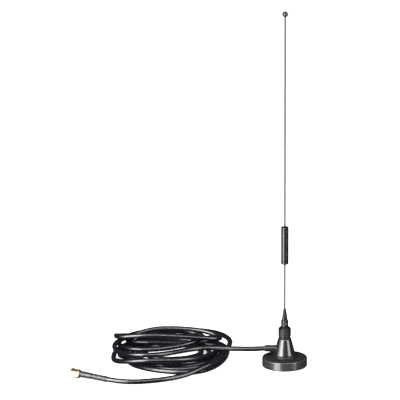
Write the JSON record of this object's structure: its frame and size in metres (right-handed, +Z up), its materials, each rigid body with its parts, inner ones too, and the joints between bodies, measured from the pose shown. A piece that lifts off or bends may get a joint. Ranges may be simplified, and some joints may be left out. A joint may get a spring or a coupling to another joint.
{
  "type": "magnetic mount antenna",
  "caption": "Whip antenna with a loading coil on a round magnetic foot, with a hank of coaxial cable ending in a threaded plug.",
  "frame": {"origin": "centre of the underside of the foot pad, on the surface the antenna stands on", "axes": "+Z up along the whip; the cable leaves the cone towards -X; +X, +Y and the floor make the ground plane"},
  "size_m": [0.238, 0.155, 0.3691],
  "materials": {
    "foot_rubber": "matte",
    "ferrite": "matte sintered ferrite",
    "plated_steel": "zinc plated",
    "puck_paint": "black powder coat, fine grain on top, glossy rim",
    "ring_plastic": "moulded black",
    "cone_plastic": "polished black ABS",
    "screw_steel": "zinc plated",
    "stud_brass": "turned",
    "spring_steel": "spring steel",
    "tinned_copper": "tinned copper",
    "boot_rubber": "satin",
    "crimp_steel": "plated",
    "cable_insulation": "polyethylene",
    "bare_copper": "bare copper",
    "coil_copper": "enamelled copper",
    "seal_rubber": "satin",
    "black_chrome": "black chrome, knurled band",
    "ferrule_chrome": "black chrome",
    "black_steel": "black oxide",
    "coil_plastic": "polished black",
    "former_nylon": "natural nylon",
    "tip_plastic": "polished black",
    "cable_pvc": "satin black PVC",
    "plug_gold": "gold plated brass",
    "nut_gold": "gold plated brass",
    "ring_bronze": "spring bronze",
    "gasket_silicone": "silicone",
    "ptfe": "PTFE",
    "heatshrink": "satin heat-shrink"
  },
  "bodies": {
    "base": {"foot_pad": "foot_rubber", "ring_magnet": "ferrite", "backing_plate": "plated_steel", "puck_cover": "puck_paint", "foot_ring": "ring_plastic", "cone_housing": "cone_plastic", "puck_screw_1": "screw_steel", "puck_screw_2": "screw_steel", "puck_screw_3": "screw_steel", "whip_stud": "stud_brass", "stud_nut": "stud_brass", "lock_washer": "spring_steel", "feed_tab": "tinned_copper", "ground_lead": "tinned_copper", "braid_base": "tinned_copper", "braid_plug": "tinned_copper", "cable_boot": "boot_rubber", "pull_stop": "crimp_steel", "insulation_base": "cable_insulation", "insulation_plug": "cable_insulation", "conductor_base": "bare_copper", "conductor_plug": "bare_copper", "coax_jacket": "cable_pvc", "plug_body": "plug_gold", "centre_pin": "plug_gold", "crimp_sleeve": "plug_gold", "retaining_ring": "ring_bronze", "plug_gasket": "gasket_silicone", "plug_dielectric": "ptfe", "heatshrink_short": "heatshrink", "heatshrink_long": "heatshrink"},
    "seal": {"seal_washer": "seal_rubber"},
    "whip": {"whip_collar": "black_chrome", "whip_ferrule": "ferrule_chrome", "grub_screw": "black_steel", "lower_rod": "black_steel", "coil_cap_lower": "coil_plastic", "coil_sleeve": "coil_plastic", "coil_cap_upper": "coil_plastic", "phasing_coil": "coil_copper", "coil_former": "former_nylon", "upper_rod": "black_steel", "tip_ball": "tip_plastic"},
    "plug_nut": {"coupling_nut": "nut_gold"}
  },
  "joints": [
    {"name": "whip_lift", "type": "slide", "parent": "base", "child": "seal", "axis": [0, 0, 1], "range_m": [0, 0.00605]},
    {"name": "whip_unscrew", "type": "hinge", "parent": "seal", "child": "whip", "pos_m": [0, 0, 0.0335], "axis": [0, 0, 1], "range_deg": [0, 2160]},
    {"name": "nut_spin", "type": "hinge", "parent": "base", "child": "plug_nut", "pos_m": [-0.2136, -0.0392, 0.0052], "axis": [-0.891, 0.4518, 0.0452], "continuous": true}
  ],
  "couplings": [
    {"joint": "whip_lift", "follows": "whip_unscrew", "m_per_rad": 0.00015915}
  ]
}
